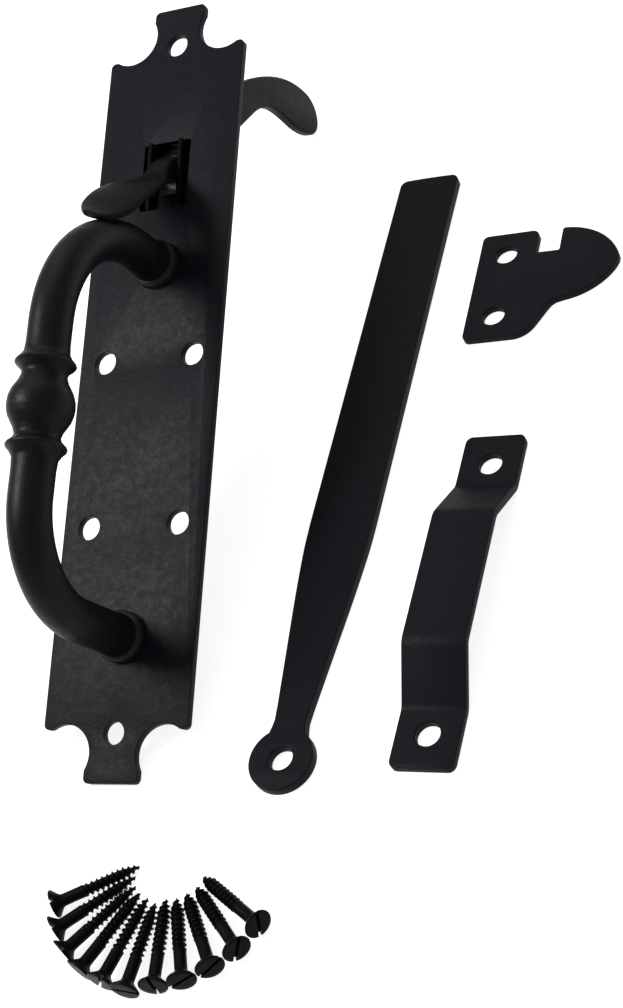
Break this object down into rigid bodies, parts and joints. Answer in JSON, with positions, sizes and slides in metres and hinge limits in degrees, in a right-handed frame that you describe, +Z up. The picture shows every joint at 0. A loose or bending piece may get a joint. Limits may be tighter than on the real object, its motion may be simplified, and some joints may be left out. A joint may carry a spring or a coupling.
{
  "type": "thumb latch set for a gate",
  "caption": "Black suffolk-style thumb latch set for a gate: handle plate with pull handle and thumb lever, latch bar, keeper, notched catch and wood screws, laid out flat.",
  "frame": {"origin": "middle of the set's bounding box, on the table it lies on", "axes": "+Z up from the table, +Y along the handle plate from its bottom end to the lever's tail, +X from the handle plate across to the keeper and catch"},
  "size_m": [0.1834, 0.4062, 0.1215],
  "materials": {
    "graphite_powder_coat": "matte, finely grained powder coat",
    "satin_black": "satin powder coat",
    "browned_black": "black with rubbed brown edges",
    "black_screw": "black, slightly glossy"
  },
  "bodies": {
    "handle_plate": {"backplate": "graphite_powder_coat", "pull_handle": "satin_black", "upper_foot_ring": "browned_black", "lower_foot_ring": "browned_black", "pivot_bracket": "satin_black", "pivot_pin": "browned_black"},
    "lever": {"thumb_lever": "satin_black"},
    "bar": {"latch_bar": "satin_black"},
    "keeper_strap": {"keeper": "satin_black"},
    "catch_plate": {"catch": "satin_black"},
    "screw_body_01": {"screw_01": "black_screw"},
    "screw_body_02": {"screw_02": "black_screw"},
    "screw_body_03": {"screw_03": "black_screw"},
    "screw_body_04": {"screw_04": "black_screw"},
    "screw_body_05": {"screw_05": "black_screw"},
    "screw_body_06": {"screw_06": "black_screw"},
    "screw_body_07": {"screw_07": "black_screw"},
    "screw_body_08": {"screw_08": "black_screw"},
    "screw_body_09": {"screw_09": "black_screw"},
    "screw_body_10": {"screw_10": "black_screw"},
    "screw_body_11": {"screw_11": "black_screw"}
  },
  "joints": [
    {"name": "lever_pivot", "type": "hinge", "parent": "handle_plate", "child": "lever", "pos_m": [-0.06205, 0.09662, 0.07613], "axis": [-1, 0, 0], "range_deg": [0, 25]},
    {"name": "bar_pivot", "type": "hinge", "parent": "handle_plate", "child": "bar", "pos_m": [0.00285, -0.11952, 0], "axis": [0, 0, 1], "range_deg": [0, 20]},
    {"name": "keeper_lift", "type": "slide", "parent": "handle_plate", "child": "keeper_strap", "axis": [0, 0, 1], "range_m": [0, 0.15]},
    {"name": "catch_lift", "type": "slide", "parent": "handle_plate", "child": "catch_plate", "axis": [0, 0, 1], "range_m": [0, 0.15]},
    {"name": "screw_01_lift", "type": "slide", "parent": "handle_plate", "child": "screw_body_01", "axis": [0, 0, 1], "range_m": [0, 0.15]},
    {"name": "screw_02_lift", "type": "slide", "parent": "handle_plate", "child": "screw_body_02", "axis": [0, 0, 1], "range_m": [0, 0.15]},
    {"name": "screw_03_lift", "type": "slide", "parent": "handle_plate", "child": "screw_body_03", "axis": [0, 0, 1], "range_m": [0, 0.15]},
    {"name": "screw_04_lift", "type": "slide", "parent": "handle_plate", "child": "screw_body_04", "axis": [0, 0, 1], "range_m": [0, 0.15]},
    {"name": "screw_05_lift", "type": "slide", "parent": "handle_plate", "child": "screw_body_05", "axis": [0, 0, 1], "range_m": [0, 0.15]},
    {"name": "screw_06_lift", "type": "slide", "parent": "handle_plate", "child": "screw_body_06", "axis": [0, 0, 1], "range_m": [0, 0.15]},
    {"name": "screw_07_lift", "type": "slide", "parent": "handle_plate", "child": "screw_body_07", "axis": [0, 0, 1], "range_m": [0, 0.15]},
    {"name": "screw_08_lift", "type": "slide", "parent": "handle_plate", "child": "screw_body_08", "axis": [0, 0, 1], "range_m": [0, 0.15]},
    {"name": "screw_09_lift", "type": "slide", "parent": "handle_plate", "child": "screw_body_09", "axis": [0, 0, 1], "range_m": [0, 0.15]},
    {"name": "screw_10_lift", "type": "slide", "parent": "handle_plate", "child": "screw_body_10", "axis": [0, 0, 1], "range_m": [0, 0.15]},
    {"name": "screw_11_lift", "type": "slide", "parent": "handle_plate", "child": "screw_body_11", "axis": [0, 0, 1], "range_m": [0, 0.15]}
  ]
}
